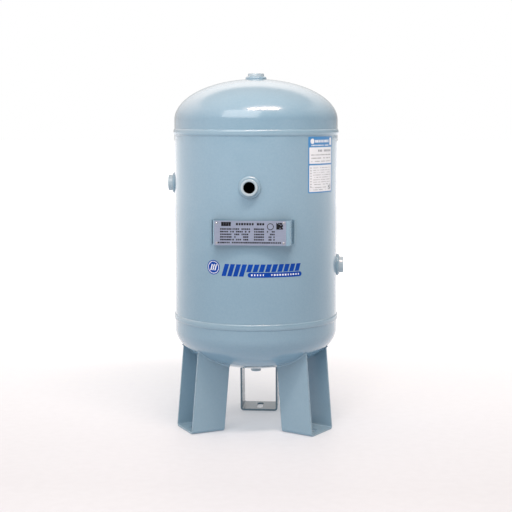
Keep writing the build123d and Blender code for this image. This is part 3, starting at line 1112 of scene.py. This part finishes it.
label_low, label_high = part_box("info_label")
label_z = (label_low.z + label_high.z) / 2
label_rise = (label_high.z - label_low.z) / 2
label_half = 52.5 * mm
label_azimuth = 55
on_label = wrapped(label_azimuth, label_z)
label_outline = rounded_box(-label_half, -label_rise, label_half, label_rise, 3 * mm)
film = cut_film([label_outline], 0, 0.2 * mm, on_label)
keep("info_label_film", film, "label_film", "info_label", material=label_blue, smooth=50)
panels = cut_film(
    [
        rounded_box(-49 * mm, 3 * mm, 49 * mm, 46 * mm, 2 * mm),
        rounded_box(-49 * mm, -71 * mm, 49 * mm, -1 * mm, 2 * mm),
        disc(-38 * mm, 62 * mm, 7 * mm),
        rounded_box(38 * mm, 51 * mm, 48 * mm, 71 * mm, 3 * mm),
    ],
    0.2 * mm,
    0.26 * mm,
    on_label,
)
keep("info_label_panels", panels, "label_film", material=white_film, smooth=50)
on_print = wrapped(label_azimuth, label_z, 0.27 * mm)
ink = 0.04 * mm
white_marks = rows(
    on_print,
    ink,
    (-25, 62, 30, 62, 9, 1, 6, 7, 21, 1.0, 0.7),
    (-40, 51, 30, 51, 15, 1, 4.2, 3.4, 22, 0.85, 0.5),
)
keep("info_label_header_marks", joined(*white_marks), "label_film", material=white_film, smooth=0)
grey_marks = rows(
    on_print,
    ink,
    (-14, 37, 42, 37, 10, 1, 5, 5.6, 23, 0.95, 0.7),
    (-40, 9, 42, 26, 20, 3, 3.8, 2.4, 24, 0.8, 0.5),
    (-43, -58, -43, -8, 1, 8, 3.4, 3.4, 25, 1.0, 0.9),
    (-33, -52, 42, -8, 20, 8, 3.6, 1.5, 26, 0.8, 0.5),
    (-43, -66, 18, -60, 16, 2, 3.6, 1.8, 27, 0.8, 0.5),
    (32, -66, 44, -54, 8, 8, 1.8, 1.8, 28, 0.6, 0.9),
)
keep("info_label_marks", joined(*grey_marks), "label_film", material=label_grey, smooth=0)


# Front decal: a round badge, four tall and nine short slanted bars, and a pill, with white details

decal_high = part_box("front_decal")[1]
decal_length = 262 * mm
badge = 19 * mm
badge_z = decal_high.z - badge
bars_top = 10.5 * mm
bars_gap = 3.9 * mm
bars_step = 3.6 * mm
pill_length = 148 * mm
pill_height = 13 * mm
decal_azimuth = 3
on_decal = wrapped(decal_azimuth, badge_z)
start = -decal_length / 2


def slanted(left, bottom, width, height, lean=0.3):
    """A bar's outline, leaning to the right."""
    top = bottom + height
    shift = lean * height
    return [(left, bottom), (left + width, bottom), (left + width + shift, top), (left + shift, top)]


outlines = [disc(start + badge, 0, badge)]
left = start + 43 * mm
for count, width, height in ((4, 12 * mm, 32 * mm), (9, 12.4 * mm, 20 * mm)):
    bottom = bars_top - height
    for _ in range(count):
        outlines.append(slanted(left, bottom, width, height))
        left += width + bars_gap
    left += bars_step
pill_right = start + decal_length
pill_left = pill_right - pill_length
pill_top = bars_top - 21.5 * mm
pill_z = pill_top - pill_height / 2
outlines.append(rounded_box(pill_left, pill_top - pill_height, pill_right, pill_top, 6.4 * mm))
blue = cut_film(outlines, 0, 0.2 * mm, on_decal)
keep("front_decal_blue", blue, "decal_film", "front_decal", material=decal_blue, smooth=50)
details = []
for k in range(3):
    details.append(slanted(start + badge + (k * 6.4 - 10) * mm, -8 * mm, 3.4 * mm, 16 * mm))
pill_line = pill_z / mm
pill_marks = (pill_left / mm + 11, pill_line, pill_right / mm - 10, pill_line, 18, 1, 5, 4.4, 31, 0.9, 0.5)
white = joined(
    cut_film(details, 0.2 * mm, 0.25 * mm, on_decal),
    flat_ring(start + badge, 0, 14.8 * mm, 16.4 * mm, 0.2 * mm, 0.25 * mm, on_decal),
    *rows(wrapped(decal_azimuth, badge_z, 0.23 * mm), 0.04 * mm, pill_marks),
)
keep("front_decal_white", white, "decal_film", material=decal_white, smooth=0)


# Studio


def studio():
    """A white table and backdrop, a softbox up in front on the left, a strip overhead, and a room that
    glows faintly from above and from the left."""
    world = bpy.data.worlds.new("studio")
    scene.world = world
    world.use_nodes = True
    tree = world.node_tree
    tree.nodes.clear()
    # the backdrop: behind the tank up to about 40 degrees, brightest in the middle, dimmer near the
    # horizon, so that neither the crown nor the silhouette's grazing edges burn out
    way = add(tree, "ShaderNodeTexCoord").outputs["Generated"]
    parts = add(tree, "ShaderNodeSeparateXYZ", {0: way})
    back = add(tree, "ShaderNodeMapRange", {"Value": parts.outputs["Y"], 1: -0.1, 2: 0.3})
    low = add(tree, "ShaderNodeMapRange", {"Value": parts.outputs["Z"], 1: 0.72, 2: 0.62})
    drop = add(tree, "ShaderNodeMath", {0: back.outputs[0], 1: low.outputs[0]}, operation="MULTIPLY")
    aside = add(tree, "ShaderNodeMath", {0: parts.outputs["X"], 1: 0.1}, operation="ADD")
    aside = add(tree, "ShaderNodeMath", {0: aside.outputs[0]}, operation="ABSOLUTE")
    middle = add(
        tree, "ShaderNodeMapRange", {"Value": aside.outputs[0], 1: 0.15, 2: 0.65, 3: 1.25, 4: 0.72}
    )
    lift = add(tree, "ShaderNodeMapRange", {"Value": parts.outputs["Z"], 1: 0.05, 2: 0.6, 3: 0.42, 4: 1.0})
    bright = add(tree, "ShaderNodeMath", {0: middle.outputs[0], 1: lift.outputs[0]}, operation="MULTIPLY")
    # the room: light from the left and from above, a little warmer where it is strong
    left = add(tree, "ShaderNodeMapRange", {"Value": parts.outputs["X"], 1: -0.25, 2: -1.0, 4: 0.75})
    high = add(tree, "ShaderNodeMapRange", {"Value": parts.outputs["Z"], 1: 0.2, 2: 1.0, 3: 0.06, 4: 0.85})
    room = add(tree, "ShaderNodeMath", {0: left.outputs[0], 1: high.outputs[0]}, operation="ADD")
    warm = add(
        tree,
        "ShaderNodeMix",
        {0: room.outputs[0], 6: tone("#FFFFFF"), 7: tone("#FFE4D4")},
        data_type="RGBA",
    )
    glow = add(
        tree,
        "ShaderNodeMath",
        {0: drop.outputs[0], 1: bright.outputs[0], 2: room.outputs[0]},
        operation="MULTIPLY_ADD",
    )
    light = add(tree, "ShaderNodeBackground", {"Color": warm.outputs[2], "Strength": glow.outputs[0]})
    # the eye itself sees plain white
    plain = add(tree, "ShaderNodeBackground", {"Color": tone("#FFFFFF"), "Strength": 1.0})
    eye = add(tree, "ShaderNodeLightPath")
    mix = add(
        tree,
        "ShaderNodeMixShader",
        {0: eye.outputs["Is Camera Ray"], 1: light.outputs[0], 2: plain.outputs[0]},
    )
    add(tree, "ShaderNodeOutputWorld", {"Surface": mix.outputs[0]})
    for name, place, aim, width, height, power, warmth in (
        ("key_softbox", (-0.56, -1.84, 2.02), (0, 0, 1.2), 1.9, 1.4, 24, "#FFF9F5"),
        ("overhead_strip", (0.42, -1.32, 2.87), (0, 0, 0.9), 1.5, 0.34, 62, "#FFE0CE"),
    ):
        lamp = bpy.data.lights.new(name, "AREA")
        lamp.shape = "RECTANGLE"
        lamp.size = width
        lamp.size_y = height
        lamp.energy = power
        lamp.color = tone(warmth)[:3]
        box = bpy.data.objects.new(name, lamp)
        box.location = place
        box.rotation_euler = (Vector(aim) - Vector(place)).to_track_quat("-Z", "Y").to_euler()
        box.visible_camera = False
        scene.collection.objects.link(box)
    material, tree, surface = finish_material("white_table_laminate")
    surface.inputs["Emission Color"].default_value = tone("#FFFFFF")
    coords = add(tree, "ShaderNodeTexCoord").outputs["Object"]
    grain = add(tree, "ShaderNodeTexNoise", {"Vector": coords, "Scale": 40.0, "Detail": 2.0})
    colour = add(
        tree,
        "ShaderNodeMix",
        {0: grain.outputs["Fac"], 6: tone("#BBC6D1"), 7: tone("#C2CDD8")},
        data_type="RGBA",
    )
    shade(tree, surface, colour.outputs[2])
    surface.inputs["Roughness"].default_value = 0.6
    # lit from below behind the tank and far off all round, so that it runs into the backdrop
    away = add(tree, "ShaderNodeSeparateXYZ", {0: coords})
    behind = add(
        tree, "ShaderNodeMapRange", {"Value": away.outputs["Y"], 1: -0.6, 2: 2.6, 3: 0.1, 4: 0.75}
    )
    far = add(tree, "ShaderNodeVectorMath", {0: coords}, operation="LENGTH")
    round_about = add(
        tree, "ShaderNodeMapRange", {"Value": far.outputs["Value"], 1: 2.2, 2: 9.0, 3: 0.1, 4: 0.95}
    )
    rise = add(
        tree, "ShaderNodeMath", {0: behind.outputs[0], 1: round_about.outputs[0]}, operation="MAXIMUM"
    )
    tree.links.new(rise.outputs[0], surface.inputs["Emission Strength"])
    sheet = bpy.data.meshes.new("table")
    reach = 40
    under = -0.5 * mm
    corners = ((-reach, -reach), (reach, -reach), (reach, reach), (-reach, reach))
    sheet.from_pydata([(x, y, under) for x, y in corners], [], [(0, 1, 2, 3)])
    sheet.materials.append(material)
    table = bpy.data.objects.new("table", sheet)
    scene.collection.objects.link(table)
    scene.view_settings.view_transform = "Standard"


studio()
